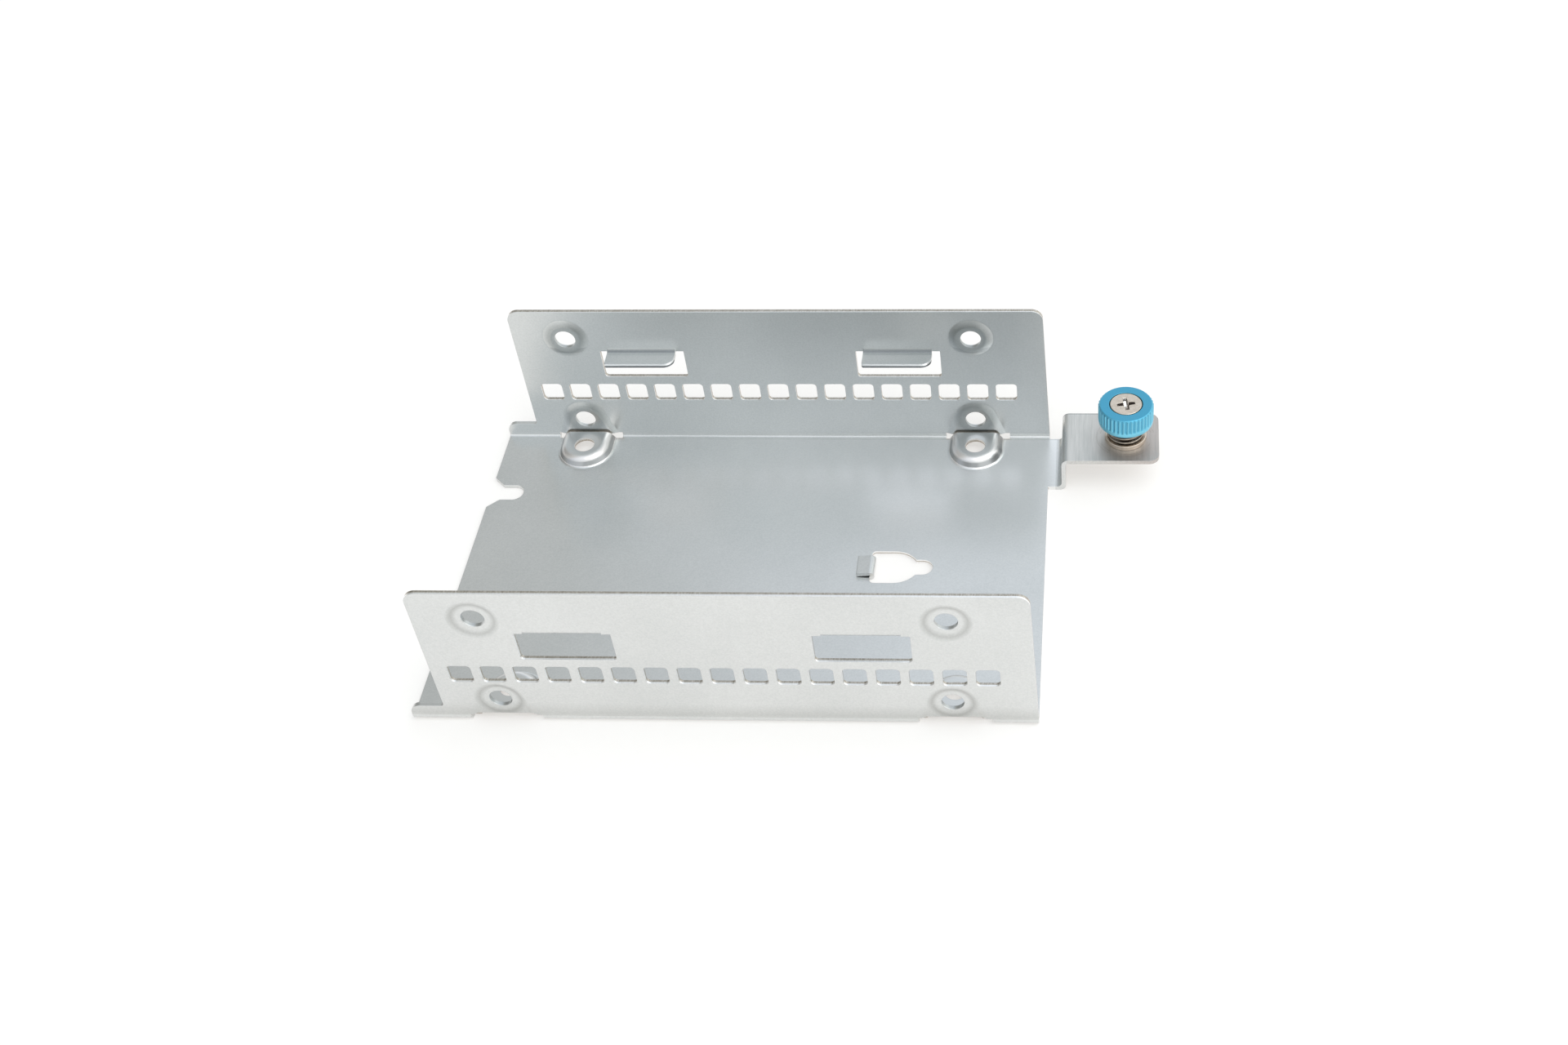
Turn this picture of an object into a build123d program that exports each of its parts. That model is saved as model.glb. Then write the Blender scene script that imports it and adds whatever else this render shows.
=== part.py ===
from build123d import *
import math
import os

# Hard drive cage for two 2.5 inch drives, one above the other. One folded steel sheet makes the floor, the
# two walls and the raised ear. A sprung captive thumbscrew sits on the ear. Millimetres. X runs along the
# drives toward the ear, Y across, Z up. The origin is on the underside of the floor, midway between the
# drive's screw holes.

# The drive standard: a 2.5 inch drive is 69.85 wide, its screw holes are 76.6 apart along it, its side
# holes lie 3.0 above its underside and its bottom holes 4.065 in from its sides, so 61.72 apart.
drive_width = 69.85
hole_gap = 76.6
side_hole_up = 3.0
bottom_hole_in = 4.065

# The sheet
sheet = 0.8
bend = 0.4                     # inner radius of the folds along the walls
pad_in = 0.4                   # how far the screw hole pads stand in from the walls
side_room = 0.15               # room for the drive between the two rows of pads
bay = drive_width + side_room + 2 * pad_in
inner = bay / 2                # wall's inner face
outer = inner + sheet          # wall's outer face
eps = 0.6                      # how far a cutter runs past a face

# Walls, seen from the side
wall_left = -48.4
wall_right = 52.6
flange_long = 6.0              # low flanges left of the walls
floor_left = wall_left - flange_long
wall_rise = 31.0               # above the floor
wall_top = sheet + wall_rise
wall_lean = 0.8                # the right ends of the walls slant back by this much at their top
wall_corner = 2.1
flange_rise = 3.1
flange_top = sheet + flange_rise
flange_corner = 1.8
step_fillet = 0.5

# Screw holes
screw_hole = 1.95              # radius
boss_up = 1.8                  # top of the floor bosses above the floor
drive_pitch = 20.0             # lower to upper drive
low_hole = sheet + boss_up + side_hole_up
high_hole = low_hole + drive_pitch
hole_x = hole_gap / 2

# Pads round the screw holes: radii on the crest and at the foot, inside and outside of the wall
crest_r, foot_r = 2.7, 4.2
pit_r, mouth_r = 2.7, 4.2
bell_crest, bell_foot = 4.6, 6.0    # half widths of the lower pads at their bottom, inside
bell_pit, bell_mouth = 4.5, 5.9     # the same outside

# Row of square holes
square = 4.05
square_corner = 0.75
square_gap = 5.5
square_count = 17
square_x = -43.5               # first hole
square_rise = 11.45            # middle of the row above the floor
square_z = sheet + square_rise

# Windows with shelf tabs for the upper drive
window_x = 24.35
window_wide = 16.0
window_rise = 15.3             # lower edge above the floor
window_low = sheet + window_rise
window_corner = 0.6            # lower corners
window_top_corner = 0.15
shelf_play = 0.2               # under the upper drive, which hangs on its screws
shelf_top = high_hole - side_hole_up - shelf_play
window_high = shelf_top        # the tabs bend out of the windows' upper edges
shelf_wide = 13.0
shelf_reach = 3.85             # from the wall's inner face
shelf_bend = 0.8
shelf_corner = 1.9
shelf_back_corner = 0.35

# Slots in the folds beside the bosses
slot_back, slot_ahead = 6.0, 6.5   # from the boss to the slot's ends
slot_rise = 0.95               # slot's upper edge above the floor
slot_up = sheet + slot_rise
slot_margin = 0.45             # from the wall's inner face to the slot's front edge
slot_in = inner - slot_margin
slot_lap = 0.1                 # how far the floor round a boss runs into the slot

# Floor bosses
boss_y = drive_width / 2 - bottom_hole_in
boss_shift = 0.45              # from the hole to the middle of the boss's round front
boss_mid = boss_y + boss_shift
boss_foot = 5.25               # radius at the floor
boss_crest = 4.2               # radius at the top before rounding
boss_round = 1.6               # radius of the upper outer edge
boss_bend = 0.6                # inner radius at the floor
boss_rim = 1.2                 # flat floor taken with the boss
boss_margin = 0.9              # the boss's top ends this far short of the wall
boss_back = inner - boss_margin

# Hook slot in the floor's left edge
hook_slot_y = 19.2
hook_slot_wide = 4.0
hook_slot_deep = 6.3
hook_mouth_x, hook_mouth_y = 2.1, 2.0

# Keyhole in the floor and the tab hemmed back over its left end
key_y = -0.1
key_left = 20.7
key_head_x = 25.05             # where its straight sides end
key_head_r = 4.0               # half its width
key_neck_x = 29.0              # where the neck starts
key_neck_r = 1.87
key_end = 32.1
key_corner = 0.9
hem_low_y, hem_high_y = -2.6, 1.8
hem_left = 18.3
hem_gap = 0.34                 # clear width inside the fold
hem_tip_gap = 0.08             # between the floor and the tab's end

# Raised ear
ear_low_y = 21.3
ear_margin = 0.7
ear_high_y = inner - ear_margin
ear_rise = 6.7
ear_top = sheet + ear_rise
ear_step = 2.6                 # flat tongue from the floor's right edge to the upright
ear_riser = wall_right + ear_step
ear_long = 18.4                # from the upright's left face to the ear's right edge
ear_right = ear_riser + ear_long
ear_bend = 0.5                 # inner radius under the plate
ear_foot_bend = 0.9            # inner radius at the floor, pressed tight on the outside
ear_foot_outside = 1.1
ear_corner = 1.9

# Thumbscrew, drawn sprung up
screw_in = 6.3                 # from the ear's right edge
screw_x = ear_right - screw_in
screw_y = (ear_low_y + ear_high_y) / 2
ring_r = 3.95
ring_high = 1.0
ring_edge = 0.15
shank_r = 2.3                  # in the ear's hole
flare_r = 2.75
flare_high = 0.45
ring_bore = 1.6                # round the thread
lip_high = 0.45
lip_bore = 1.2                 # round the neck
neck_r = 1.1
thread_r = 1.5
collar_long = 1.5              # shoulder that the lip catches
relief_r = 1.15                # groove between the collar and the thread
relief_long = 0.65
thread_long = 2.4
thread_point = 0.5
shoulder_room = 0.05           # thread shoulder below the lip
knob_r = 5.2
knob_lift = 4.2                # underside above the ear
knob_high = 4.15
knob_band = 1.05               # smooth band below the flutes
knob_top_edge = 0.4
knob_low_edge = 0.3
flute_count = 40
flute_r = 0.32
flute_depth = 0.2
spring_pocket_r = 3.75
spring_pocket_deep = 2.0
head_r = 3.0
head_high = 1.5
head_room = 0.16
cross_wide, cross_long, cross_deep = 0.95, 3.4, 1.15
cross_turn = 10.0
spring_r = 3.3                 # to the middle of the wire
spring_wire = 0.45
spring_turns = 5.6


def rounded(points, plane=Plane.XY):
    """Face whose outline runs through the points (x, y, radius), each corner rounded by its radius."""
    count = len(points)
    runs = []
    for i, (x, y, r) in enumerate(points):
        px, py, _ = points[i - 1]
        nx, ny, _ = points[(i + 1) % count]
        a = math.atan2(py - y, px - x)
        b = math.atan2(ny - y, nx - x)
        turn = abs((a - b + math.pi) % (2 * math.pi) - math.pi)
        if r <= 0 or abs(turn - math.pi) < 1e-6:
            runs.append(((x, y), None, (x, y)))
            continue
        back = r / math.tan(turn / 2)
        start = (x + back * math.cos(a), y + back * math.sin(a))
        end = (x + back * math.cos(b), y + back * math.sin(b))
        half = math.atan2(math.sin(a) + math.sin(b), math.cos(a) + math.cos(b))
        reach = r / math.sin(turn / 2) - r
        runs.append((start, (x + reach * math.cos(half), y + reach * math.sin(half)), end))
    edges = []
    for i, (start, middle, end) in enumerate(runs):
        before = runs[i - 1][2]
        if math.dist(before, start) > 1e-6:
            edges.append(Line(before, start))
        if middle:
            edges.append(ThreePointArc(start, middle, end))
    return plane * make_face(Wire(Edge.make_line(e @ 0, e @ 1) if isinstance(e, Line) else e.edge() for e in edges))


def prism(face, length):
    """The face pushed along its own normal."""
    return extrude(face, amount=length)


def slab(x0, x1, y0, y1, z0, z1):
    """Box between the given limits."""
    return Pos((x0 + x1) / 2, (y0 + y1) / 2, (z0 + z1) / 2) * Box(x1 - x0, y1 - y0, z1 - z0)


def rod(x, y, z0, z1, r):
    """Upright cylinder."""
    return Pos(x, y, (z0 + z1) / 2) * Cylinder(r, z1 - z0)


def side_plane(y):
    """Plane at the given y whose normal points to +Y; its own x is X and its own y is Z reversed."""
    return Plane(origin=(0, y, 0), x_dir=(1, 0, 0), z_dir=(0, 1, 0))


def side_face(points, y):
    """Rounded face in the X and Z of a plane that faces +Y."""
    return rounded([(x, -z, r) for x, z, r in points], side_plane(y))


def trough():
    """Floor, low flanges and walls with rounded folds."""
    section = Plane.YZ * make_face(Polyline(
        (-outer, 0), (outer, 0), (outer, wall_top), (inner, wall_top), (inner, sheet),
        (-inner, sheet), (-inner, wall_top), (-outer, wall_top), close=True))
    body = Pos(floor_left, 0, 0) * extrude(section, amount=wall_right - floor_left)
    long_edges = body.edges().filter_by(Axis.X)
    low = long_edges.filter_by(lambda e: abs(e.center().Z) < 0.01)
    body = fillet(low, bend + sheet)
    long_edges = body.edges().filter_by(Axis.X)
    inside = long_edges.filter_by(lambda e: abs(e.center().Z - sheet) < 0.01 and abs(abs(e.center().Y) - inner) < 0.01)
    body = fillet(inside, bend)
    outline = side_face([
        (floor_left, -eps, 0), (wall_right, -eps, 0), (wall_right, sheet, 0),
        (wall_right - wall_lean, wall_top, wall_corner),
        (wall_left, wall_top, wall_corner), (wall_left, flange_top, step_fillet),
        (floor_left, flange_top, flange_corner)], -outer - eps)
    return body & prism(outline, 2 * (outer + eps))


def squares():
    """Cutters for the row of square holes through both walls."""
    h = square / 2
    cutters = []
    for i in range(square_count):
        x = square_x + i * square_gap
        face = side_face([(x - h, square_z - h, square_corner), (x + h, square_z - h, square_corner),
                          (x + h, square_z + h, square_corner), (x - h, square_z + h, square_corner)],
                         -outer - eps)
        cutters.append(prism(face, 2 * (outer + eps)))
    return cutters


def windows():
    """Cutters for the windows through both walls, with the openings that the shelf tabs bend out of."""
    cutters = []
    h = window_wide / 2
    for x in (-window_x, window_x):
        face = side_face([(x - h, window_low, window_corner), (x + h, window_low, window_corner),
                          (x + h, window_high, window_top_corner), (x - h, window_high, window_top_corner)],
                         -outer - eps)
        cutters.append(prism(face, 2 * (outer + eps)))
        cutters.append(slab(x - shelf_wide / 2, x + shelf_wide / 2, -outer - eps, outer + eps,
                            shelf_top - sheet, shelf_top + shelf_bend))
    return cutters


def shelf(x):
    """Tab at the +Y wall: bent inward from the window's upper edge, right corner well rounded."""
    top = shelf_top
    section = rounded([
        (outer, top + shelf_bend, 0), (outer, top - sheet, shelf_bend + sheet),
        (inner - shelf_reach, top - sheet, 0), (inner - shelf_reach, top, 0), (inner, top, shelf_bend),
        (inner, top + shelf_bend, 0)], Plane.YZ)
    tab = Pos(x - shelf_wide / 2, 0, 0) * extrude(section, amount=shelf_wide)
    plan = rounded([
        (x - shelf_wide / 2, outer + eps, 0), (x - shelf_wide / 2, inner - shelf_reach, shelf_back_corner),
        (x + shelf_wide / 2, inner - shelf_reach, shelf_corner), (x + shelf_wide / 2, outer + eps, 0)])
    return tab & (Pos(0, 0, top - 3 * sheet) * prism(plan, 6 * sheet))


def bell(x, r, half, y):
    """Lower pad's outline at the given y: round over the hole and widening down to the slot."""
    foot = slot_up - 0.3
    drop = low_hole - foot
    reach = math.hypot(half, drop)
    lean = math.atan2(half, drop) + math.acos(r / reach)
    tx, tz = r * math.sin(lean), -r * math.cos(lean)
    left, right = (x - tx, low_hole + tz), (x + tx, low_hole + tz)
    edges = [Line((x - half, -foot), (x + half, -foot)), Line((x + half, -foot), (right[0], -right[1])),
             ThreePointArc((right[0], -right[1]), (x, -(low_hole + r)), (left[0], -left[1])),
             Line((left[0], -left[1]), (x - half, -foot))]
    return side_plane(y) * make_face(Wire([e.edge() for e in edges]))


def dish(x, y, crest, foot):
    """Round pad at the wall's upper hole whose slope swings smoothly from its foot at y to its crest inward."""
    back, lap = 0.3, 0.01
    slope = Spline((foot + 0.1, lap), (crest, -pad_in), tangents=[(-1, -0.1), (-1, 0)])
    half = make_face([Line((0, back), (foot + 0.1, back)), Line((foot + 0.1, back), (foot + 0.1, lap)), slope,
                      Line((crest, -pad_in), (0, -pad_in)), Line((0, -pad_in), (0, back))])
    return Pos(x, y, high_hole) * revolve(half, Axis.Y, 360)


def bell_pad(x, y, crest, foot, crest_half, foot_half):
    """Pad at the wall's lower hole: outlines lofted from its foot at y to its crest along a smooth swing."""
    steps = 4
    outlines = []
    for i in range(steps + 1):
        u = i / steps
        sink = pad_in * u * u * (3 - 2 * u)
        lap = 0.01 if i == 0 else 0
        outlines.append(bell(x, foot + (crest - foot) * u, foot_half + (crest_half - foot_half) * u, y + lap - sink))
    return loft(outlines)


def pads():
    """Solids to add and to cut for the four screw hole pads of the +Y wall."""
    add, cut = [], []
    for x in (-hole_x, hole_x):
        add.append(dish(x, inner, crest_r, foot_r))
        cut.append(dish(x, outer, pit_r, mouth_r))
        add.append(bell_pad(x, inner, crest_r, foot_r, bell_crest, bell_foot))
        cut.append(bell_pad(x, outer, pit_r, mouth_r, bell_pit, bell_mouth))
    return add, cut


def holes_and_slots():
    """Cutters for the screw holes of both walls and the slots in the folds."""
    cutters = []
    for x in (-hole_x, hole_x):
        for z in (low_hole, high_hole):
            cutters.append(Pos(x, 0, z) * Rot(90, 0, 0) * Cylinder(screw_hole, 2 * (outer + eps)))
        for s in (-1, 1):
            y = sorted((s * slot_in, s * (outer + eps)))
            cutters.append(slab(x - slot_back, x + slot_ahead, y[0], y[1], -eps, slot_up))
            gap = boss_gap(x)
            cutters.append(gap if s > 0 else mirror(gap, Plane.XZ))
    return cutters


def boss_gap(x):
    """Cutter between a boss and the wall's pad behind it: pressing the boss drew its rim away from the wall."""
    top = sheet + boss_up + eps
    section = rounded([(slot_in, -eps, 0), (boss_back, top, 0), (inner - pad_in, top, 0),
                       (inner - pad_in, -eps, 0)], Plane.YZ)
    return Pos(x - slot_back, 0, 0) * extrude(section, amount=slot_back + slot_ahead)


def boss(x):
    """Pressed boss at the +Y wall: half a round boss with straight sides that run to the slot."""
    run = boss_foot - boss_crest
    lean = math.atan2(boss_up, run)
    step = sheet * math.tan(lean / 2)
    rim = boss_foot + boss_rim
    ring = [(0, sheet + boss_up, 0), (boss_crest, sheet + boss_up, boss_round), (boss_foot, sheet, boss_bend),
            (rim, sheet, 0), (rim, 0, 0), (boss_foot - step, 0, boss_bend + sheet),
            (boss_crest - step, boss_up, boss_round - sheet), (0, boss_up, 0)]
    half = rounded(ring, Plane.XZ)
    turned = Pos(x, boss_mid, 0) * revolve(half, Axis.Z, -180)
    right = Pos(x, boss_mid, 0) * extrude(half, amount=-(slot_in - boss_mid + slot_lap))
    left = mirror(right, Plane(origin=(x, 0, 0), z_dir=(1, 0, 0)))
    return turned + right + left


def boss_seat(x):
    """The piece of floor that a boss takes the place of."""
    rim = boss_foot + boss_rim
    disc = Pos(x, boss_mid, sheet / 2) * Cylinder(rim, sheet + 2 * eps)
    return disc + slab(x - rim, x + rim, boss_mid, slot_in + slot_lap, -eps, sheet + eps)


def hook_slot():
    """Cutter for the slot in the floor's left edge, its mouth widened by slanted corners."""
    h = hook_slot_wide / 2
    x0 = floor_left
    face = rounded([
        (x0 - eps, hook_slot_y - h - hook_mouth_y - eps * hook_mouth_y / hook_mouth_x, 0),
        (x0 + hook_mouth_x, hook_slot_y - h, 0.3), (x0 + hook_slot_deep, hook_slot_y - h, h - 0.05),
        (x0 + hook_slot_deep, hook_slot_y + h, h - 0.05), (x0 + hook_mouth_x, hook_slot_y + h, 0.3),
        (x0 - eps, hook_slot_y + h + hook_mouth_y + eps * hook_mouth_y / hook_mouth_x, 0)])
    return Pos(0, 0, -eps) * prism(face, sheet + 2 * eps)


def keyhole():
    """Cutter for the keyhole: a head with a square left end and sides that swing in to a round ended neck."""
    r, n = key_head_r, key_neck_r
    run = key_neck_x - key_head_x
    swing = (run ** 2 + (r - n) ** 2) / (2 * (r - n))
    half = math.asin(run / swing) / 2
    middle = (key_head_x + swing * math.sin(half), r - swing * (1 - math.cos(half)))
    tip = key_end - n
    head = [(key_left, -r, key_corner), (key_head_x, -r, 0), (key_head_x, r, 0), (key_left, r, key_corner)]
    neck = make_face([
        Line((key_head_x, -r), (key_head_x, r)), ThreePointArc((key_head_x, r), middle, (key_neck_x, n)),
        Line((key_neck_x, n), (tip, n)), ThreePointArc((tip, n), (key_end, 0), (tip, -n)),
        Line((tip, -n), (key_neck_x, -n)),
        ThreePointArc((key_neck_x, -n), (middle[0], -middle[1]), (key_head_x, -r))])
    high = sheet + 2 * eps
    return Pos(0, key_y, -eps) * (extrude(rounded(head), amount=high) + extrude(neck, amount=high))


def hem():
    """Tab folded up and back to the left over the floor at the keyhole's left end, closed at its tip."""
    inside = hem_gap / 2
    outside = sheet + inside
    crown = key_left - 0.05
    top = sheet + hem_tip_gap
    section = rounded([
        (key_left - 0.8, 0, 0), (crown + outside, 0, outside - 0.001), (crown + outside, 2 * outside, 0.9 * outside),
        (hem_left, top + sheet, 0.2), (hem_left, top, 0.1), (crown + inside, 2 * inside + sheet, 0.85 * inside),
        (crown + inside, sheet, inside - 0.001), (key_left - 0.8, sheet, 0)], Plane.XZ)
    return Pos(0, hem_high_y, 0) * extrude(section, amount=hem_high_y - hem_low_y)


def ear():
    """Tongue, upright and raised plate with its hole, cut from one bent strip."""
    t = sheet
    x0 = wall_right - 2.0
    strip = rounded([
        (x0, 0, 0), (ear_riser + t, 0, ear_foot_outside), (ear_riser + t, ear_top - t, ear_bend),
        (ear_right, ear_top - t, 0), (ear_right, ear_top, 0), (ear_riser, ear_top, ear_bend + t),
        (ear_riser, t, ear_foot_bend), (x0, t, 0)], Plane.XZ)
    body = Pos(0, ear_high_y, 0) * extrude(strip, amount=ear_high_y - ear_low_y)
    plan = rounded([(x0 - eps, ear_low_y, 0), (ear_right, ear_low_y, ear_corner),
                    (ear_right, ear_high_y, ear_corner), (x0 - eps, ear_high_y, 0)])
    body = body & (Pos(0, 0, -eps) * prism(plan, ear_top + 2 * eps))
    return body - rod(screw_x, screw_y, 0, ear_top + eps, shank_r)


def make_bracket():
    body = trough()
    seats = [boss_seat(x) for x in (-hole_x, hole_x)]
    seats += [mirror(s, Plane.XZ) for s in seats]
    body = body - seats
    bosses = [boss(x) for x in (-hole_x, hole_x)]
    bosses += [mirror(b, Plane.XZ) for b in bosses]
    body = body + bosses
    add, cut = pads()
    add += [mirror(a, Plane.XZ) for a in add]
    cut += [mirror(c, Plane.XZ) for c in cut]
    body = body + add
    body = body - (cut + holes_and_slots() + squares() + windows())
    shelves = [shelf(x) for x in (-window_x, window_x)]
    shelves += [mirror(s, Plane.XZ) for s in shelves]
    body = body + shelves
    drills = [rod(x, y, -eps, low_hole, screw_hole) for x in (-hole_x, hole_x) for y in (-boss_y, boss_y)]
    body = body - (drills + [hook_slot(), keyhole()])
    return body + [hem(), ear()]


def make_retainer():
    """Pressed ring: its shank fills the ear's hole, is flared below and holds the screw by a lip."""
    z = ear_top
    low = z - sheet
    body = rod(screw_x, screw_y, z, z + ring_high, ring_r)
    body = chamfer(body.edges().filter_by(GeomType.CIRCLE).group_by(Axis.Z)[-1], ring_edge)
    body += rod(screw_x, screw_y, low - flare_high, z + 0.1, shank_r)
    body += Pos(screw_x, screw_y, low - flare_high / 2) * Cone(shank_r, flare_r, flare_high)
    body -= rod(screw_x, screw_y, low - flare_high - eps, z + ring_high - lip_high, ring_bore)
    return body - rod(screw_x, screw_y, z, z + ring_high + eps, lip_bore)


def screw_levels():
    """Heights of the knob's underside, the knob's top, the head's underside and the thread's shoulder."""
    under = ear_top + knob_lift
    top = under + knob_high
    return under, top, top - head_high, ear_top + ring_high - lip_high - shoulder_room


def make_knob():
    under, top, seat, _ = screw_levels()
    body = rod(screw_x, screw_y, under, top, knob_r)
    rims = body.edges().filter_by(GeomType.CIRCLE)
    body = chamfer(rims.group_by(Axis.Z)[-1], knob_top_edge)
    rims = body.edges().filter_by(GeomType.CIRCLE)
    body = fillet(rims.group_by(Axis.Z)[0], knob_low_edge)
    reach = knob_r - flute_depth + flute_r
    flutes = []
    for i in range(flute_count):
        a = 2 * math.pi * i / flute_count
        flutes.append(rod(screw_x + reach * math.cos(a), screw_y + reach * math.sin(a),
                          under + knob_band, top + eps, flute_r))
    body = body - flutes
    body -= rod(screw_x, screw_y, under - eps, under + spring_pocket_deep, spring_pocket_r)
    body -= rod(screw_x, screw_y, seat, top + eps, head_r + head_room)
    return body - rod(screw_x, screw_y, under, top, neck_r)


def cross_recess(top):
    """Cutter for the cross recess: two tapered bars and a pilot cone."""
    bars = []
    for a in (0, 90):
        upper = Rectangle(cross_long, cross_wide)
        lower = Rectangle(cross_long * 0.42, cross_wide * 0.55)
        bar = loft([Pos(0, 0, 0.01) * upper, Pos(0, 0, -cross_deep) * lower])
        bars.append(Pos(screw_x, screw_y, top) * Rot(0, 0, cross_turn + a) * bar)
    return bars[0] + bars[1]


def make_screw():
    _, top, seat, shoulder = screw_levels()
    body = rod(screw_x, screw_y, seat, top, head_r)
    body += rod(screw_x, screw_y, shoulder - 0.1, seat + 0.1, neck_r)
    body += rod(screw_x, screw_y, shoulder - collar_long, shoulder, thread_r)
    start = shoulder - collar_long - relief_long
    body += rod(screw_x, screw_y, start - 0.1, shoulder - collar_long + 0.1, relief_r)
    tip = start - thread_long
    body += rod(screw_x, screw_y, tip + thread_point, start, thread_r)
    body += Pos(screw_x, screw_y, tip + thread_point / 2) * Cone(thread_r - thread_point, thread_r, thread_point)
    return body - cross_recess(top)


def make_spring():
    """Wire coil with its ends ground flat on the ring and on the knob's pocket."""
    under, _, _, _ = screw_levels()
    low = ear_top + ring_high
    high = under + spring_pocket_deep
    rise = high - low - spring_wire * 0.7
    path = Helix(pitch=rise / spring_turns, height=rise, radius=spring_r)
    wire = Plane(origin=path @ 0, z_dir=path % 0) * Circle(spring_wire / 2)
    coil = Pos(screw_x, screw_y, low + spring_wire * 0.35) * sweep(wire, path=path, is_frenet=True)
    reach = spring_r + 1
    return coil & slab(screw_x - reach, screw_x + reach, screw_y - reach, screw_y + reach, low, high)


def save(node, solid):
    solids = solid.solids()
    if len(solids) != 1:
        print(node, "has", len(solids), "solids", [round(s.volume, 3) for s in solids])
    export_step(solids[0] if len(solids) == 1 else solid, "parts/" + node + ".step")


os.makedirs("parts", exist_ok=True)
save("cage_bracket", make_bracket())
save("retainer", make_retainer())
save("knob", make_knob())
save("screw", make_screw())
save("spring", make_spring())
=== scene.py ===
import math
import types
import bpy
import numpy as np
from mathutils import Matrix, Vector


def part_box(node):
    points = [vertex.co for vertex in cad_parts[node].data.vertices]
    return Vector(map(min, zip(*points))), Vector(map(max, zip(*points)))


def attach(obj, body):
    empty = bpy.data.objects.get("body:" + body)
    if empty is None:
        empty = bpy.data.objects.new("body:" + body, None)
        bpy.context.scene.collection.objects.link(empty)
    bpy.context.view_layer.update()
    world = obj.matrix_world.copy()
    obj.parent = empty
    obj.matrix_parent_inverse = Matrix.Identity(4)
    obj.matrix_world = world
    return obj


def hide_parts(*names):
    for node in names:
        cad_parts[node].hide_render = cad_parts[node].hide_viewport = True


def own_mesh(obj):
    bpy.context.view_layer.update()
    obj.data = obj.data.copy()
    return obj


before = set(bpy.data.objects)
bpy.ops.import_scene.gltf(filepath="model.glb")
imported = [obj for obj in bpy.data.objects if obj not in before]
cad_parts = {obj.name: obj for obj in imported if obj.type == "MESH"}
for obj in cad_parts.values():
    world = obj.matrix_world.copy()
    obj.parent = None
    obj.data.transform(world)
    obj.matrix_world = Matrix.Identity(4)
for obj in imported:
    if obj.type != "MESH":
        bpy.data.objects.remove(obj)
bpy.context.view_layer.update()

MM = 0.001


def edge_of(node, end, axis):
    """Lowest (end 0) or highest (end 1) coordinate of a node along an axis, in millimetres."""
    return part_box(node)[end][axis] / MM


# The thumbscrew, in millimetres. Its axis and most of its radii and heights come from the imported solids.
SCREW_X = (edge_of("knob", 0, 0) + edge_of("knob", 1, 0)) / 2
SCREW_Y = (edge_of("knob", 0, 1) + edge_of("knob", 1, 1)) / 2
KNOB_R = (edge_of("knob", 1, 0) - edge_of("knob", 0, 0)) / 2
KNOB_LOW, KNOB_TOP = edge_of("knob", 0, 2), edge_of("knob", 1, 2)
RING_R = (edge_of("retainer", 1, 0) - edge_of("retainer", 0, 0)) / 2
SHANK_LOW, RING_TOP = edge_of("retainer", 0, 2), edge_of("retainer", 1, 2)
HEAD_R = (edge_of("screw", 1, 0) - edge_of("screw", 0, 0)) / 2
SCREW_TIP = edge_of("screw", 0, 2)
EAR_TOP = RING_TOP - 1.0    # the ring bears on the ear here
SHEET = 0.8                 # the ear's thickness
SEAT = KNOB_TOP - 1.5       # the screw's head sits on the knob here
POCKET = KNOB_LOW + 2.0     # the spring bears on the knob here


# Meshes

def piece(name, points, faces):
    """Mesh object at the origin from an array of points in millimetres and an array of faces."""
    mesh = bpy.data.meshes.new(name)
    mesh.from_pydata((points * MM).tolist(), [], [tuple(f) for f in faces])
    mesh.polygons.foreach_set("use_smooth", np.ones(len(mesh.polygons), bool))
    mesh.update()
    obj = bpy.data.objects.new(name, mesh)
    bpy.context.scene.collection.objects.link(obj)
    return obj


def grid_faces(rows, columns, close_rows):
    """Quads of a grid whose columns close on themselves, and whose rows do so too if close_rows is true."""
    last = rows if close_rows else rows - 1
    i, j = np.meshgrid(np.arange(last), np.arange(columns), indexing="ij")
    a = i * columns + j
    b = i * columns + (j + 1) % columns
    c = ((i + 1) % rows) * columns + (j + 1) % columns
    d = ((i + 1) % rows) * columns + j
    return np.stack([a, b, c, d], -1).reshape(-1, 4)


def round_corners(outline, steps=5):
    """Closed outline of (radius, height, rounding): each corner gives way to an arc that touches both of its
    sides."""
    points = []
    count = len(outline)
    for k in range(count):
        here = np.array(outline[k][:2], float)
        size = outline[k][2]
        if size == 0:
            points.append(here)
            continue
        back = np.array(outline[k - 1][:2], float) - here
        ahead = np.array(outline[(k + 1) % count][:2], float) - here
        back /= np.linalg.norm(back)
        ahead /= np.linalg.norm(ahead)
        half = math.acos(float(np.clip(back @ ahead, -1, 1))) / 2
        reach = size / math.tan(half)
        middle = here + (back + ahead) / np.linalg.norm(back + ahead) * size / math.sin(half)
        first = here + back * reach - middle
        last = here + ahead * reach - middle
        sweep = math.pi - 2 * half
        t = np.linspace(0, 1, steps + 1)
        arc = (np.sin((1 - t) * sweep)[:, None] * first + np.sin(t * sweep)[:, None] * last) / math.sin(sweep)
        points.extend(middle + arc)
    return np.array(points)


def fine(profile, longest):
    """The closed outline with its long sides divided, so that no step is longer than the given length."""
    points = []
    for k in range(len(profile)):
        a, b = profile[k], profile[(k + 1) % len(profile)]
        parts = max(1, int(math.ceil(np.linalg.norm(b - a) / longest)))
        points.extend(a + (b - a) * s / parts for s in range(parts))
    return np.array(points)


def once_round(columns):
    """The columns' angles, even steps from zero to just under a full turn."""
    return np.arange(columns) * 2 * math.pi / columns


def round_screw(r, angle, z):
    """Points at the radius r and the angle from the screw's axis, at the height z."""
    return np.stack([SCREW_X + r * np.cos(angle), SCREW_Y + r * np.sin(angle), z + 0 * angle], -1)


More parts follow.
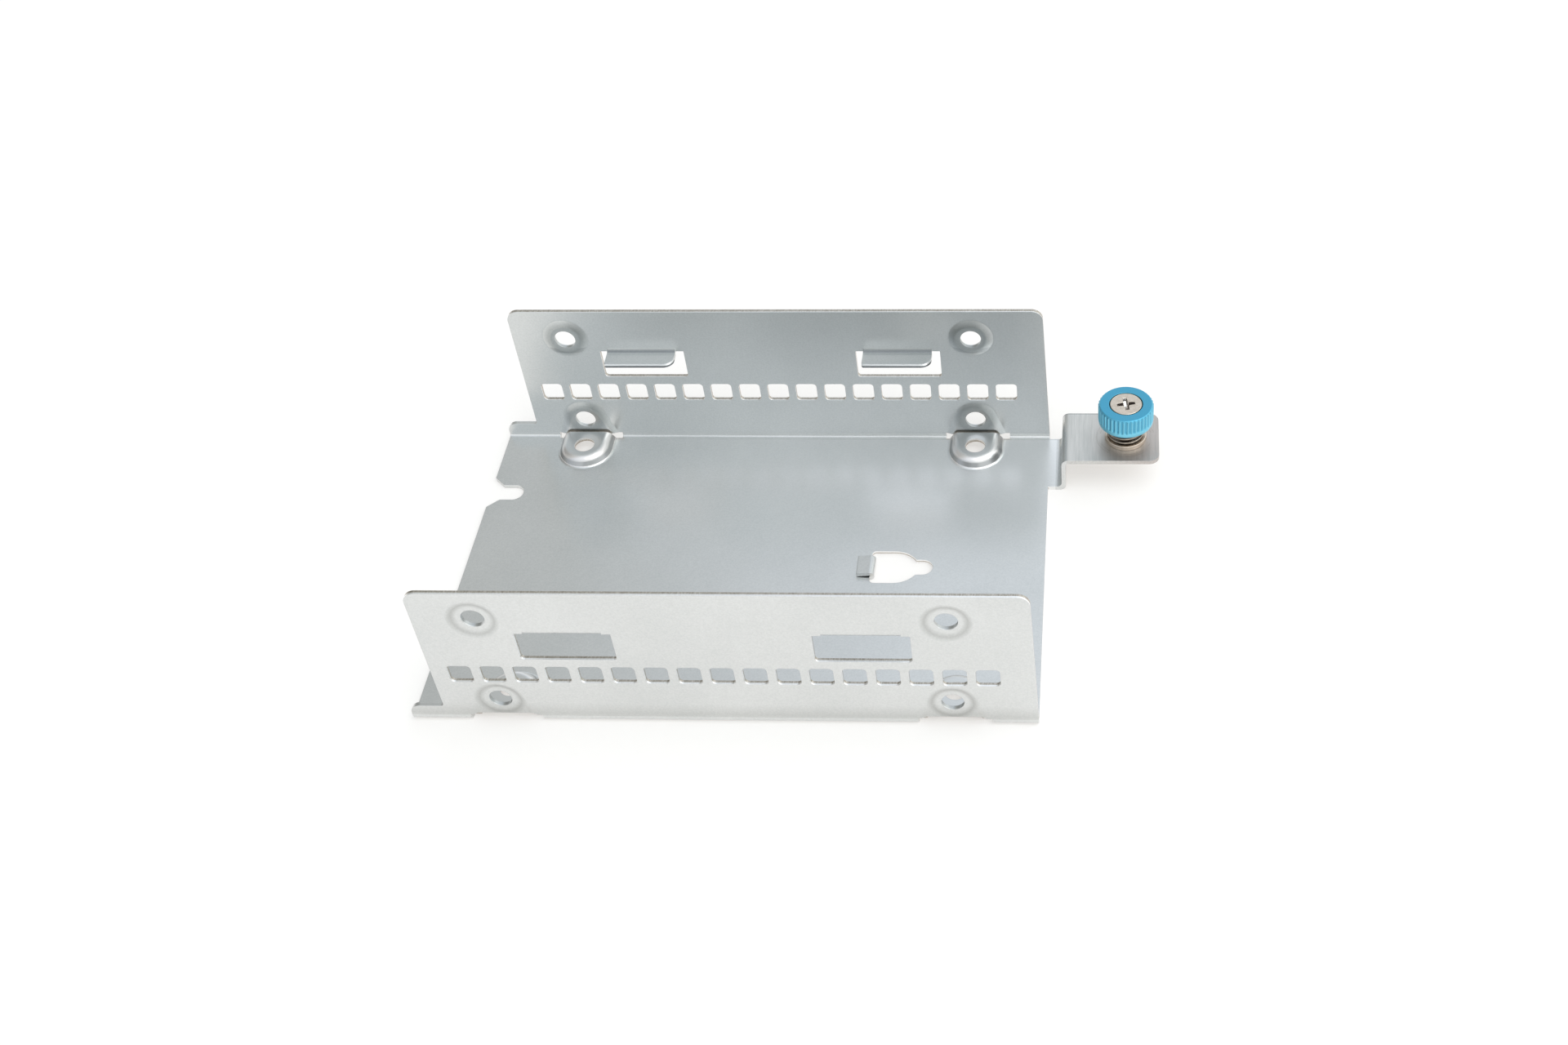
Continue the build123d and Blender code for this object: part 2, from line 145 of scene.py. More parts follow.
def make_retainer():
    """Ring with rounded rims, its shank in the ear's hole, flared below, and a lip round the screw's neck. Point
    (i, j) is the profile's point i turned by the angle j."""
    lip_r, bore, shank, flare = 1.2, 1.6, 2.3, 2.75
    ear_low, lip_low = EAR_TOP - SHEET, RING_TOP - 0.45
    outline = [(lip_r, RING_TOP, 0.12), (lip_r, lip_low, 0), (bore, lip_low, 0), (bore, SHANK_LOW, 0.08),
               (shank, SHANK_LOW, 0.1), (flare, ear_low, 0.05), (shank, ear_low, 0), (shank, EAR_TOP, 0),
               (RING_R, EAR_TOP, 0.12), (RING_R, RING_TOP, 0.16)]
    profile, angle = round_corners(outline), once_round(160)
    points = round_screw(profile[:, :1], angle, profile[:, 1:])
    return piece("retainer_ring", points.reshape(-1, 3), grid_faces(len(profile), len(angle), True))


def make_knob():
    """Fluted knob: its radius is the lesser of the turned profile and of the flute cutters, whose round
    section, at the angle from the nearest flute, is the cutter's near side seen from the knob's axis."""
    flutes, steps = 40, 12
    cutter, depth, band, run_out = 0.36, 0.21, 1.0, 0.35
    bore, pocket_r, head_room = 1.1, 3.75, HEAD_R + 0.16
    outline = [(bore, POCKET, 0), (pocket_r, POCKET, 0.15), (pocket_r, KNOB_LOW, 0.12),
               (KNOB_R - 0.1, KNOB_LOW, 0.3), (KNOB_R, KNOB_LOW + 0.7, 0.4), (KNOB_R, KNOB_TOP - 0.36, 0.06),
               (KNOB_R - 0.34, KNOB_TOP, 0.08), (head_room, KNOB_TOP, 0.08), (head_room, SEAT, 0),
               (bore, SEAT, 0)]
    profile = fine(round_corners(outline), 0.14)
    angle = once_round(flutes * steps)
    r, z = profile[:, :1], profile[:, 1:]
    pitch = 2 * math.pi / flutes
    off = (angle + pitch / 2) % pitch - pitch / 2
    climb = np.clip((z - KNOB_LOW - band) / run_out, 0, 1)
    reach = KNOB_R + cutter - depth * np.sqrt(1 - (1 - climb) ** 2)
    inside = cutter ** 2 - (reach * np.sin(off)) ** 2
    cut = np.where(inside > 0, reach * np.cos(off) - np.sqrt(np.clip(inside, 0, None)), 2 * KNOB_R)
    points = round_screw(np.where(climb > 0, np.minimum(r, cut), r), angle, z)
    return piece("knob_fluted", points.reshape(-1, 3), grid_faces(len(profile), len(angle), True))


def recess_depth(x, y):
    """Depth of the cross recess: over each bar, the least of its sloping floor and its steep sides, then the
    greatest of the two bars and of a round pilot in the middle."""
    turn = math.radians(10.0)
    u = x * math.cos(turn) + y * math.sin(turn)
    v = y * math.cos(turn) - x * math.sin(turn)

    def bar(along, across):
        side = (0.5 - 0.07 * np.abs(along) - np.abs(across)) * 5.0
        floor = 1.3 - 0.42 * np.abs(along)
        end = (1.72 - np.abs(along)) * 2.6
        return np.minimum(np.minimum(side, floor), end)

    pilot = (0.78 - np.hypot(u, v)) * 3.4
    depth = np.maximum(np.maximum(bar(u, v), bar(v, u)), np.minimum(pilot, 1.35))
    return np.clip(depth, 0, None)


def make_screw():
    """Screw as one grid of rows by angle, from the middle of the head to the tip. Head: height = top less the
    recess depth. Thread: radius = core radius plus a ridge of the height less the angle's share of a pitch."""
    columns = 384
    rim, bevel, neck, relief, core, major, pitch, tip_r = 0.14, 0.1, 1.1, 1.15, 1.2, 1.5, 0.5, 0.9
    shoulder = RING_TOP - 0.5
    start = shoulder - 2.15
    collar_low = start + 0.65
    angle = once_round(columns)
    head_rows = np.linspace(0, HEAD_R - rim, 110)[1:]
    round_edge = np.linspace(0, math.pi / 2, 5)[1:]
    thread_z = np.linspace(start - 0.05, SCREW_TIP + 0.05, 120)
    r = np.concatenate([head_rows, HEAD_R - rim + rim * np.sin(round_edge),
                        [HEAD_R, HEAD_R - bevel, neck, neck, major - bevel, major, major, major - bevel, relief,
                         relief], np.full(len(thread_z), major), [tip_r]])
    z = np.concatenate([np.full(len(head_rows), KNOB_TOP), KNOB_TOP - rim + rim * np.cos(round_edge),
                        [SEAT + bevel, SEAT, SEAT, shoulder, shoulder, shoulder - bevel, collar_low + bevel,
                         collar_low, collar_low, start], thread_z, [SCREW_TIP]])
    r, z = r[:, None] + 0 * angle, z[:, None] + 0 * angle
    top = slice(0, len(head_rows))
    z[top] -= recess_depth(r[top] * np.cos(angle), r[top] * np.sin(angle))
    cut = slice(len(r) - 1 - len(thread_z), len(r) - 1)
    share = (z[cut] / pitch - angle / (2 * math.pi)) % 1
    ridge = np.clip(1.25 - np.abs(share - 0.5) * 2.5, 0, 1)
    point = np.clip((z[cut] - SCREW_TIP) / 0.5, 0, 1)
    run_out = np.clip((start - z[cut]) / 0.2, 0, 1)
    r[cut] = np.minimum(core + (major - core) * ridge * run_out, 0.95 + 0.55 * point)
    ends = [[SCREW_X, SCREW_Y, KNOB_TOP - recess_depth(0.0, 0.0)], [SCREW_X, SCREW_Y, SCREW_TIP]]
    points = np.concatenate([round_screw(r, angle, z).reshape(-1, 3), ends])
    rows = len(r)
    quads = grid_faces(rows, columns, False)[:, ::-1].tolist()
    j = np.arange(columns)
    crown = np.stack([np.full(columns, rows * columns), j, (j + 1) % columns], -1)
    foot = (rows - 1) * columns
    tip = np.stack([np.full(columns, rows * columns + 1), foot + (j + 1) % columns, foot + j], -1)
    return piece("captive_screw", points, quads + crown.tolist() + tip.tolist())


def make_spring():
    """Wire coil: point (i, j) is the helix point i plus the wire's radius at the angle j in the plane across
    the wire. The helix climbs little in its end turns, which lie closed, and evenly between them."""
    wire, coil_r, turns, closed, start_angle = 0.225, 3.3, 5.6, 0.7, 0.9
    rows, columns = 480, 16
    t = np.linspace(0, turns, rows)
    low, high = RING_TOP + wire, POCKET - wire
    closed_pitch = 1.8 * wire
    lead = closed_pitch * (np.minimum(t, closed) + np.clip(t - (turns - closed), 0, None))
    climb = np.clip(t - closed, 0, turns - 2 * closed) / (turns - 2 * closed)
    z = low + lead + (high - low - 2 * closed_pitch * closed) * climb
    a = t * 2 * math.pi + start_angle
    line = np.stack([-coil_r * np.sin(a), coil_r * np.cos(a), np.gradient(z, a)], -1)
    line /= np.linalg.norm(line, axis=1)[:, None]
    out = np.stack([np.cos(a), np.sin(a), 0 * a], -1)
    up = np.cross(out, line)
    phi = once_round(columns)
    centre = round_screw(coil_r, a, z)
    points = centre[:, None, :] + wire * (np.cos(phi)[None, :, None] * out[:, None, :]
                                          - np.sin(phi)[None, :, None] * up[:, None, :])
    points = np.concatenate([points.reshape(-1, 3), centre[:1], centre[-1:]])
    faces = grid_faces(rows, columns, False).tolist()
    j = np.arange(columns)
    n = rows * columns
    faces += np.stack([np.full(columns, n), (j + 1) % columns, j], -1).tolist()
    foot = (rows - 1) * columns
    faces += np.stack([np.full(columns, n + 1), foot + j, foot + (j + 1) % columns], -1).tolist()
    return piece("coil_spring", points, faces)


# Materials. A mask is one in its zone and zero outside it, and a zone is (from, to) in millimetres.

# The folded sheet: where its parts lie. "Off" counts from the middle both ways, along x or sideways.
HOLE_OFF = 38.3             # a wall's screw holes, off along x
HOLES_MIDDLE = 15.6         # height halfway between the two rows of holes
HOLES_RISE = 10.0           # each row's height from there
WALL_OFF = 34.4             # the floor ends here, sideways, and a wall with its pads starts
WALL_CORE = 35.6            # a wall's inner face is nearer than this, its outer face farther off
WALL_FOOT = 1.6             # a wall's flat starts at this height, over the floor's fold
TAB_RISE = (21.4, 23.4)     # the shelf tabs' heights
TAB_END = (30.0, 33.6)      # the shelf tabs' free ends, off sideways
EAR_FROM = 56.2             # the ear lies beyond this x


def linear(hex_colour):
    """An sRGB hex colour as linear red, green, blue and alpha."""
    parts = [int(hex_colour[k:k + 2], 16) / 255 for k in (1, 3, 5)]
    return [p / 12.92 if p <= 0.04045 else ((p + 0.055) / 1.055) ** 2.4 for p in parts] + [1.0]


def add(tree, kind, settings=None, links=None, **properties):
    """Adds a node: settings are its sockets' values, links are its sockets' sources, properties its own."""
    node = tree.nodes.new(kind)
    for key, value in properties.items():
        setattr(node, key, value)
    for key, value in (settings or {}).items():
        node.inputs[key].default_value = value
    for key, source in (links or {}).items():
        tree.links.new(source, node.inputs[key])
    return node


def new_material(name):
    """An empty node material and its tree."""
    material = bpy.data.materials.new(name)
    material.use_nodes = True
    material.node_tree.nodes.clear()
    return material, material.node_tree


def finish_surface(tree, settings, links):
    """Principled surface with the given constants and sources, joined to the material's output."""
    shader = add(tree, "ShaderNodeBsdfPrincipled", settings, links)
    add(tree, "ShaderNodeOutputMaterial", links={"Surface": shader.outputs["BSDF"]})


def ramp(tree, source, stops):
    """Colour ramp over the source, with (position, hex colour) stops."""
    node = add(tree, "ShaderNodeValToRGB", links={"Fac": source})
    elements = node.color_ramp.elements
    while len(elements) < len(stops):
        elements.new(0.5)
    for element, (position, colour) in zip(elements, stops):
        element.position = position
        element.color = linear(colour)
    return node.outputs["Color"]


def over(tree, value, edge):
    """Mask of the values over the edge."""
    return add(tree, "ShaderNodeMath", {1: edge}, {0: value}, operation="GREATER_THAN").outputs[0]


def under(tree, value, edge):
    """Mask of the values under the edge."""
    return add(tree, "ShaderNodeMath", {1: edge}, {0: value}, operation="LESS_THAN").outputs[0]


def within(tree, value, zone):
    """Mask of the values inside the zone."""
    return both(tree, over(tree, value, zone[0] * MM), under(tree, value, zone[1] * MM))


def both(tree, *masks):
    """Product of the masks."""
    result = masks[0]
    for mask in masks[1:]:
        result = add(tree, "ShaderNodeMath", links={0: result, 1: mask}, operation="MULTIPLY").outputs[0]
    return result


def either(tree, *masks):
    """Greatest of the masks."""
    result = masks[0]
    for mask in masks[1:]:
        result = add(tree, "ShaderNodeMath", links={0: result, 1: mask}, operation="MAXIMUM").outputs[0]
    return result


def without(tree, mask):
    """Mask of all that the given mask leaves out."""
    return under(tree, mask, 0.5)


def blend(tree, factor, first, second, how="MIX"):
    """The first colour where the factor is zero, the second where it is one, mixed as the last word says. The
    second may be a hex colour."""
    settings, links = {}, {"Factor": factor, 6: first}
    if isinstance(second, str):
        settings[7] = linear(second)
    else:
        links[7] = second
    return add(tree, "ShaderNodeMix", settings, links, data_type="RGBA", blend_type=how).outputs[2]


def times(tree, factor, first, second):
    """The first colour, multiplied by the second where the factor is one."""
    return blend(tree, factor, first, second, "MULTIPLY")


def from_screw(tree, here):
    """Distance from the screw's axis."""
    centre = add(tree, "ShaderNodeVectorMath", {1: (SCREW_X * MM, SCREW_Y * MM, 0.0)}, {0: here},
                 operation="SUBTRACT")
    flat = add(tree, "ShaderNodeVectorMath", {1: (1.0, 1.0, 0.0)}, {0: centre.outputs[0]}, operation="MULTIPLY")
    return add(tree, "ShaderNodeVectorMath", links={0: flat.outputs[0]}, operation="LENGTH").outputs["Value"]


def from_holes(tree, at):
    """Distance, in a wall's plane, from the nearest of its four screw holes."""
    along = add(tree, "ShaderNodeMath", {1: HOLE_OFF * MM}, {0: at.off_x}, operation="SUBTRACT")
    level = add(tree, "ShaderNodeMath", {1: HOLES_MIDDLE * MM}, {0: at.z}, operation="SUBTRACT")
    level = add(tree, "ShaderNodeMath", links={0: level.outputs[0]}, operation="ABSOLUTE")
    up = add(tree, "ShaderNodeMath", {1: HOLES_RISE * MM}, {0: level.outputs[0]}, operation="SUBTRACT")
    flat = add(tree, "ShaderNodeCombineXYZ", links={0: along.outputs[0], 1: up.outputs[0]})
    return add(tree, "ShaderNodeVectorMath", links={0: flat.outputs[0]}, operation="LENGTH").outputs["Value"]


def place_on_sheet(tree, here, facing):
    """Where a point of the cage lies: x, side and z, how far off the middle it is along x and sideways, and how
    much its face looks along each axis, one way or the other."""
    parts = [*add(tree, "ShaderNodeSeparateXYZ", links={0: here}).outputs,
             *add(tree, "ShaderNodeSeparateXYZ", links={0: facing}).outputs]
    sizes = [add(tree, "ShaderNodeMath", links={0: part}, operation="ABSOLUTE").outputs[0] for part in parts]
    return types.SimpleNamespace(x=parts[0], side=parts[1], z=parts[2], off_x=sizes[0], off_side=sizes[1],
                                 nx=sizes[3], ny=sizes[4], nz=sizes[5])


def sheared_edges(tree, at):
    """Two masks: the sheet's punched and sheared edge faces between the walls' ends, which on each flat are the
    faces that look along it, and the zone in them that is fractured bare steel. On each wall the bright side of
    an edge is the side that faces the front, the outer face's side on the near wall and the inner face's side on
    the far wall, so it is partly roll-over and partly painted highlight, and the fractured zone beyond it is
    partly painted shade.
    The drawn rims of the screw holes and the rounded-over edges of the tabs stay as bright as the faces, and so
    do the edges of the left flange, the tongue and the ear."""
    wall_from, floor_to = 35.05 * MM, 34.93 * MM
    above_fold = over(tree, at.z, 1.4 * MM)
    on_wall = both(tree, over(tree, at.off_side, wall_from), above_fold)
    on_floor = under(tree, at.off_side, floor_to)
    rims = both(tree, within(tree, at.off_x, (36.2, 40.4)),
                either(tree, within(tree, at.z, (2.2, 7.8)), within(tree, at.z, (23.5, 28.0))))
    tabs = both(tree, within(tree, at.z, (21.2, 23.4)), under(tree, at.nx, 0.5))
    hem = both(tree, within(tree, at.x, (17.5, 22.7)), under(tree, at.off_side, 3.4 * MM))
    wall = both(tree, on_wall, under(tree, at.ny, 0.35), without(tree, tabs))
    floor = both(tree, on_floor, under(tree, at.z, 4.5 * MM), under(tree, at.nz, 0.3), without(tree, hem))
    edges = both(tree, within(tree, at.x, (-48.5, 52.75)), without(tree, rims), either(tree, wall, floor))

    # Painted highlight and shade: on each wall the bright side of a cut edge is the side that faces the front,
    # and the darker bare zone lies on the side away from it.
    near_torn_and_shaded = both(tree, over(tree, at.side, -35.85 * MM), under(tree, at.side, 0.0))
    far_torn_and_shaded = over(tree, at.side, 35.55 * MM)
    floor_torn = either(tree, within(tree, at.z, (0.26, 0.50)), both(tree, above_fold, on_floor))
    return edges, either(tree, both(tree, on_wall, either(tree, near_torn_and_shaded, far_torn_and_shaded)), floor_torn)


def painted_light_on_formed_sheet(tree, at, colour):
    """The colour, with painted light and shade where the sheet is formed. Round the screw holes of the walls a
    ring is painted darker, painted shade of the pressed dimples, and the walls' outer faces are painted a little
    darker just above the floor's fold, painted shade. The inner fold of a shelf tab is painted darker, painted
    shade, and its free edge is painted white above, a painted highlight on its rounded edge, and dark grey
    below, partly its cut face and partly painted shade. The stretched slopes of the floor bosses are painted
    bright, painted highlight, and dark where they meet the floor steeply, painted shade."""
    wall = both(tree, over(tree, at.off_side, WALL_OFF * MM), over(tree, at.z, WALL_FOOT * MM))
    inner = both(tree, wall, under(tree, at.off_side, WALL_CORE * MM))
    outer = both(tree, wall, over(tree, at.off_side, WALL_CORE * MM))
    reach = add(tree, "ShaderNodeMapRange", {"From Max": 6.0 * MM}, {"Value": from_holes(tree, at)}).outputs[0]
    # Painted shade: darker rings round the walls' screw holes stand in for the shade on the pressed dimples'
    # slopes.
    painted_inner_ring_shade = ramp(tree, reach, [(0.34, "#DCDDDD"), (0.43, "#D2D4D4"), (0.54, "#D0D2D2"), (0.76, "#FFFFFF")])
    painted_outer_ring_shade = ramp(tree, reach, [(0.44, "#FFFFFF"), (0.585, "#E0E0DF"), (0.74, "#FFFFFF")])
    # Painted shade: the walls' outer faces are painted darker just above the floor's fold.
    height = add(tree, "ShaderNodeMapRange", {"From Min": 0.8 * MM, "From Max": 5.0 * MM}, {"Value": at.z})
    above_fold = ramp(tree, height.outputs[0], [(0.0, "#F6F6F5"), (0.35, "#EDEDEC"), (1.0, "#FFFFFF")])
    colour = times(tree, inner, colour, painted_inner_ring_shade)
    colour = times(tree, outer, colour, painted_outer_ring_shade)
    colour = times(tree, outer, colour, above_fold)

    # Painted shade: the shelf tab's inner fold is painted darker the more its face slopes.
    tab = both(tree, within(tree, at.z, TAB_RISE), over(tree, at.off_side, TAB_END[0] * MM))
    fold = both(tree, tab, within(tree, at.off_side, (WALL_OFF, 35.42)), over(tree, at.z, 22.2 * MM))
    flatness = either(tree, at.nx, at.ny, at.nz)
    painted_fold_shade = ramp(tree, flatness, [(0.70, "#A2A4A6"), (0.90, "#B4B6B8"), (0.999, "#FFFFFF")])
    colour = times(tree, fold, colour, painted_fold_shade)
    # Painted highlight and shade: the tab's free edge is painted white above, on its rounded edge, and dark grey
    # below, partly its cut face.
    free_edge = both(tree, tab, under(tree, at.off_side, TAB_END[1] * MM), under(tree, at.nz, 0.3))
    rim = add(tree, "ShaderNodeMapRange", {"From Min": 21.6 * MM, "From Max": 22.4 * MM}, {"Value": at.z})
    rollover_and_painted_light = ramp(tree, rim.outputs[0],
                  [(0.0, "#B4B6B8"), (0.20, "#6E7072"), (0.42, "#7A7C7E"), (0.56, "#FFFFFF")])
    colour = blend(tree, free_edge, colour, rollover_and_painted_light)

    # Painted highlight and shade: the boss slopes are painted bright where they are gentle and dark where they
    # meet the floor steeply.
    boss = both(tree, within(tree, at.z, (0.95, 2.7)), within(tree, at.off_side, (22.0, 35.2)),
                within(tree, at.off_x, (28.0, 48.0)), over(tree, at.nz, 0.3))
    painted_slope_light = ramp(tree, at.nz, [(0.45, "#9A9C9E"), (0.58, "#C9C8C7"), (0.68, "#F6F2F0"), (0.94, "#F4F1EF"),
                                   (0.995, "#DBDCDB")])
    return blend(tree, boss, colour, painted_slope_light)


def painted_light_drift(tree, at, on_ear, colour):
    """The colour, with painted light along the sheet: toward the ear it is painted a little brighter at the back
    of the floor, painted light, and darker inside the far wall, painted shade; on the ear it gets darker and
    warmer round the screw and beyond it."""
    along = add(tree, "ShaderNodeMapRange", {"From Min": -30.0 * MM, "From Max": 45.0 * MM},
                {"Value": at.x}).outputs[0]
    # Painted shade: the far wall's inner face is painted darker toward the ear.
    far_wall = both(tree, within(tree, at.side, (WALL_OFF, WALL_CORE)), over(tree, at.z, WALL_FOOT * MM))
    colour = times(tree, far_wall, colour, ramp(tree, along, [(0.30, "#FBFCFC"), (1.0, "#E1E3E4")]))
    # Painted light: the back of the floor is painted brighter toward the ear.
    floor = both(tree, under(tree, at.z, 0.95 * MM), under(tree, at.off_side, WALL_OFF * MM),
                 under(tree, at.x, 54.0 * MM))
    back = add(tree, "ShaderNodeMapRange", {"From Min": -6.0 * MM, "From Max": 26.0 * MM, "To Max": 0.55},
               {"Value": at.side})
    colour = blend(tree, both(tree, floor, along, back.outputs[0]), colour, "#FFFFFF")
    outward = add(tree, "ShaderNodeMapRange", {"From Min": 60.0 * MM, "From Max": 71.0 * MM}, {"Value": at.x})
    return times(tree, on_ear, colour, ramp(tree, outward.outputs[0], [(0.0, "#FDFCFB"), (1.0, "#EBE3E0")]))


def galvanised_sheet():
    """Zinc coated steel sheet from the mill's rolls, then punched and folded. Its faces are a fine matte grain
    about
    0.3 mm across that breaks up what they reflect. The ear is rubbed in fine lines along its length, with faint
    round scuffs near the knob. Sheared edges are near white on one side, partly roll-over and partly painted
    highlight, and beyond that they are fractured bare steel, warmer and darker, partly painted shade."""
    material, tree = new_material("galvanised_steel_sheet")
    place = add(tree, "ShaderNodeTexCoord")
    here, facing = place.outputs["Object"], place.outputs["Normal"]
    at = place_on_sheet(tree, here, facing)
    on_ear = over(tree, at.x, EAR_FROM * MM)

    grain = add(tree, "ShaderNodeTexNoise", {"Scale": 3000.0, "Detail": 2.0, "Roughness": 0.6},
                {"Vector": here}).outputs["Fac"]
    cloud = add(tree, "ShaderNodeTexNoise", {"Scale": 45.0, "Detail": 3.0, "Roughness": 0.55}, {"Vector": here})
    tone = add(tree, "ShaderNodeMath", {1: 0.45}, {0: cloud.outputs["Fac"]}, operation="MULTIPLY")
    tone = add(tree, "ShaderNodeMath", {1: 0.55}, {0: grain, 2: tone.outputs[0]}, operation="MULTIPLY_ADD")
    zinc = ramp(tree, tone.outputs[0], [(0.32, "#D3D5D4"), (0.50, "#DBDCDB"), (0.68, "#E2E3E2")])
    drawn = add(tree, "ShaderNodeMapping", {"Scale": (1.0, 0.05, 1.0)}, {"Vector": here})
    lines = add(tree, "ShaderNodeTexNoise", {"Scale": 3000.0, "Detail": 3.0, "Roughness": 0.6},
                {"Vector": drawn.outputs[0]}).outputs["Fac"]
    rubbed = ramp(tree, lines, [(0.34, "#CFD0CE"), (0.50, "#D7D7D5"), (0.66, "#DEDEDC")])
    reach = from_screw(tree, here)
    rings = add(tree, "ShaderNodeTexNoise", {"Scale": 7000.0, "Detail": 1.0}, {"W": reach},
                noise_dimensions="1D")
    patches = add(tree, "ShaderNodeTexNoise", {"Scale": 300.0, "Detail": 1.0}, {"Vector": here})
    scuffed = both(tree, within(tree, reach, (4.6, 6.0)), over(tree, patches.outputs["Fac"], 0.5),
                   over(tree, rings.outputs["Fac"], 0.60))
    faces = blend(tree, on_ear, zinc, blend(tree, scuffed, rubbed, "#C4C2BE"))
    faces = painted_light_on_formed_sheet(tree, at, painted_light_drift(tree, at, on_ear, faces))

    pulled = add(tree, "ShaderNodeMapping", {"Scale": (1.0, 0.3, 1.0)}, {"Vector": here})
    tear = add(tree, "ShaderNodeTexNoise", {"Scale": 5200.0, "Detail": 3.0, "Roughness": 0.7},
               {"Vector": pulled.outputs[0]}).outputs["Fac"]
    # The near white side of the cut edges is partly roll-over and partly painted highlight; the bare steel is
    # partly painted shade.
    bare = ramp(tree, tear, [(0.34, "#A0988D"), (0.5, "#BAB3A9"), (0.66, "#D2CCC4")])
    rollover_and_painted_light = ramp(tree, tear, [(0.34, "#F2F1EF"), (0.66, "#FFFFFF")])
    edges, torn_and_painted_shade = sheared_edges(tree, at)
    colour = blend(tree, edges, faces, blend(tree, torn_and_painted_shade, rollover_and_painted_light, bare))

    tab_edge = both(tree, within(tree, at.z, (TAB_RISE[0], 22.6)), within(tree, at.off_side, TAB_END))
    rounding = add(tree, "ShaderNodeMapRange", {"To Min": 0.10 * MM, "To Max": 0.30 * MM}, {"Value": tab_edge})
    soften = add(tree, "ShaderNodeBevel", links={"Radius": rounding.outputs[0]}, samples=4)
    height = add(tree, "ShaderNodeMath", {1: 0.6}, {0: both(tree, on_ear, lines), 2: grain},
                 operation="MULTIPLY_ADD")
    bump = add(tree, "ShaderNodeBump", {"Strength": 0.25, "Distance": 0.02 * MM},
               {"Height": height.outputs[0], "Normal": soften.outputs["Normal"]})
    rough = add(tree, "ShaderNodeMapRange", {"To Min": 0.30, "To Max": 0.50}, {"Value": on_ear})
    finish_surface(tree, {"Metallic": 1.0}, {"Base Color": colour, "Roughness": rough.outputs[0],
                                             "Normal": bump.outputs["Normal"]})
    return material


def nickel_plate():
    """Bright nickel plate on steel: warm, beige reflections with a slight haze. In the cross recess, the slopes
    that face one way are painted near white, painted highlight, and the other sides are painted dark, painted
    shade."""
    material, tree = new_material("nickel_plate")
    place = add(tree, "ShaderNodeTexCoord")
    here, facing = place.outputs["Object"], place.outputs["Normal"]
    haze = add(tree, "ShaderNodeTexNoise", {"Scale": 1400.0, "Detail": 2.0}, {"Vector": here}).outputs["Fac"]
    tint = ramp(tree, haze, [(0.35, "#CFC2B3"), (0.65, "#DACEC0")])
    z = add(tree, "ShaderNodeSeparateXYZ", links={0: here}).outputs[2]
    nx, ny, _ = add(tree, "ShaderNodeSeparateXYZ", links={0: facing}).outputs
    recess = both(tree, within(tree, z, (KNOB_TOP - 1.4, KNOB_TOP - 0.05)),
                  under(tree, from_screw(tree, here), 1.9 * MM))
    # Painted highlight and shade: recess slopes that face one way are painted near white, the others dark.
    turned_to = add(tree, "ShaderNodeMath", {1: -0.8}, {0: nx, 2: ny}, operation="MULTIPLY_ADD")
    turned_to = add(tree, "ShaderNodeMapRange", {"From Min": -1.0}, {"Value": turned_to.outputs[0]}).outputs[0]
    painted_recess_light = ramp(tree, turned_to, [(0.20, "#FFFCF8"), (0.42, "#E0D8CE"), (0.52, "#6A5F56"), (0.80, "#3E3631")])
    rough = add(tree, "ShaderNodeMapRange", {"To Min": 0.18, "To Max": 0.30}, {"Value": haze})
    finish_surface(tree, {"Metallic": 1.0}, {"Base Color": blend(tree, recess, tint, painted_recess_light),
                                             "Roughness": rough.outputs[0]})
    return material


def spring_wire():
    """Drawn nickel plated wire: glossy, darker than the ring, with faint marks of the drawing die."""
    material, tree = new_material("nickel_plated_wire")
    here = add(tree, "ShaderNodeTexCoord").outputs["Object"]
    marks = add(tree, "ShaderNodeTexNoise", {"Scale": 1500.0, "Detail": 1.0}, {"Vector": here})
    tint = ramp(tree, marks.outputs["Fac"], [(0.3, "#8F857A"), (0.7, "#AEA499")])
    finish_surface(tree, {"Metallic": 1.0, "Roughness": 0.16}, {"Base Color": tint})
    return material


